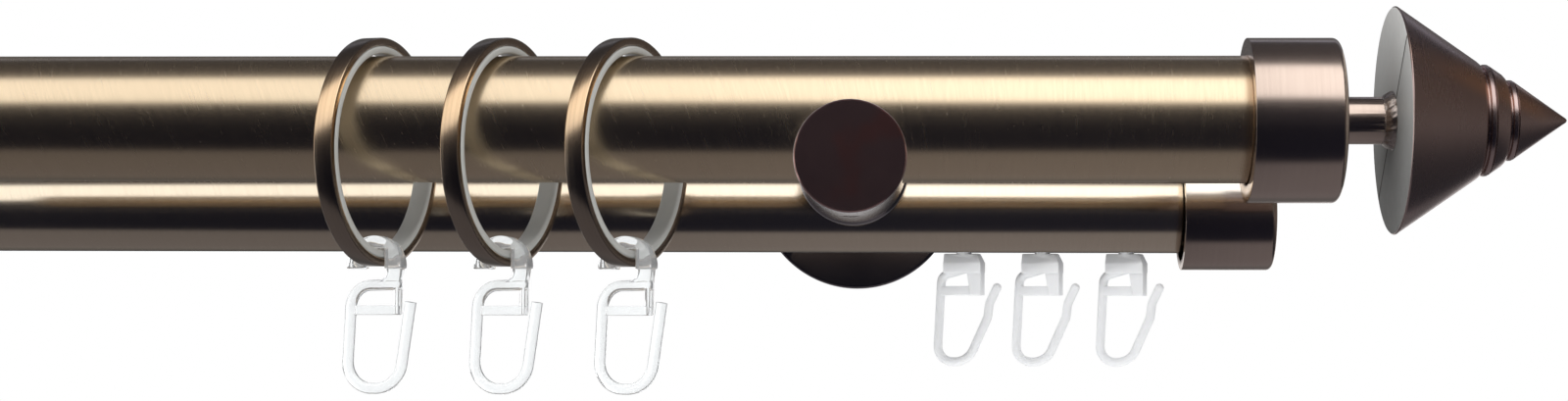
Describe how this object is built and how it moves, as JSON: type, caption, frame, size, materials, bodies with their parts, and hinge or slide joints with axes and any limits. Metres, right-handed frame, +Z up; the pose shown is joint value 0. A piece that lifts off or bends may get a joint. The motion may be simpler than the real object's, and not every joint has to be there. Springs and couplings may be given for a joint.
{
  "type": "double curtain pole",
  "caption": "End of a double curtain pole: a front pole with rings and a stepped cone finial, and a thinner track pole with gliders, on one round wall bracket.",
  "frame": {"origin": "centre of the wall plate's screw circle, on the wall", "axes": "+X along the poles towards the finial, +Y into the wall, +Z up"},
  "size_m": [0.3721, 0.145, 0.0855],
  "materials": {
    "antique_brass": "steel tube plated in antique brass, brushed across its length, satin",
    "dark_bronze": "dark bronze plating on turned steel, satin",
    "ring_bronze": "bronze plating, satin, brushed round the band",
    "zinc_steel": "zinc-plated screw steel",
    "liner_plastic": "pale grey smooth plastic",
    "clear_plastic": "clear moulded plastic",
    "white_plastic": "milky white moulded plastic",
    "dark_plastic": "dark brown moulded plastic"
  },
  "bodies": {
    "bracket_and_poles": {"wall_plate": "dark_bronze", "arm_screw": "zinc_steel", "rear_arm": "dark_bronze", "front_arm": "dark_bronze", "arm_stud": "zinc_steel", "front_pole": "antique_brass", "back_pole": "antique_brass", "front_end_plug": "dark_plastic", "back_end_plug": "dark_plastic", "finial_collar": "dark_bronze", "finial_stem": "dark_bronze", "finial_cone": "dark_bronze", "back_end_cap": "dark_bronze", "front_pole_grub_screw": "zinc_steel", "back_pole_grub_screw": "zinc_steel", "collar_grub_screw": "zinc_steel", "cap_grub_screw": "zinc_steel"},
    "ring_3": {"curtain_ring_3": "ring_bronze", "ring_liner_3": "liner_plastic"},
    "hook_3": {"ring_hook_3": "clear_plastic"},
    "ring_2": {"curtain_ring_2": "ring_bronze", "ring_liner_2": "liner_plastic"},
    "hook_2": {"ring_hook_2": "clear_plastic"},
    "ring_1": {"curtain_ring_1": "ring_bronze", "ring_liner_1": "liner_plastic"},
    "hook_1": {"ring_hook_1": "clear_plastic"},
    "glider_3": {"track_glider_3": "white_plastic"},
    "glider_2": {"track_glider_2": "white_plastic"},
    "glider_1": {"track_glider_1": "white_plastic"}
  },
  "joints": [
    {"name": "ring_3_slide", "type": "slide", "parent": "bracket_and_poles", "child": "ring_3", "axis": [1, 0, 0], "range_m": [-0.03, 0.024]},
    {"name": "hook_3_swing", "type": "hinge", "parent": "ring_3", "child": "hook_3", "pos_m": [-0.0492, -0.12, 0.0019], "axis": [0.9225, -0.3859, 0], "range_deg": [-30, 30]},
    {"name": "ring_2_slide", "type": "slide", "parent": "ring_3", "child": "ring_2", "axis": [1, 0, 0], "range_m": [-0.03, 0.01]},
    {"name": "hook_2_swing", "type": "hinge", "parent": "ring_2", "child": "hook_2", "pos_m": [-0.0768, -0.12, 0.0019], "axis": [0.9391, -0.3437, 0], "range_deg": [-30, 30]},
    {"name": "ring_1_slide", "type": "slide", "parent": "ring_2", "child": "ring_1", "axis": [1, 0, 0], "range_m": [-0.03, 0.01]},
    {"name": "hook_1_swing", "type": "hinge", "parent": "ring_1", "child": "hook_1", "pos_m": [-0.1049, -0.12, 0.0019], "axis": [0.9537, -0.3007, 0], "range_deg": [-30, 30]},
    {"name": "glider_3_slide", "type": "slide", "parent": "bracket_and_poles", "child": "glider_3", "axis": [1, 0, 0], "range_m": [-0.07, 0.0065]},
    {"name": "glider_2_slide", "type": "slide", "parent": "glider_3", "child": "glider_2", "axis": [1, 0, 0], "range_m": [-0.07, 0.005]},
    {"name": "glider_1_slide", "type": "slide", "parent": "glider_2", "child": "glider_1", "axis": [1, 0, 0], "range_m": [-0.07, 0.004]}
  ]
}
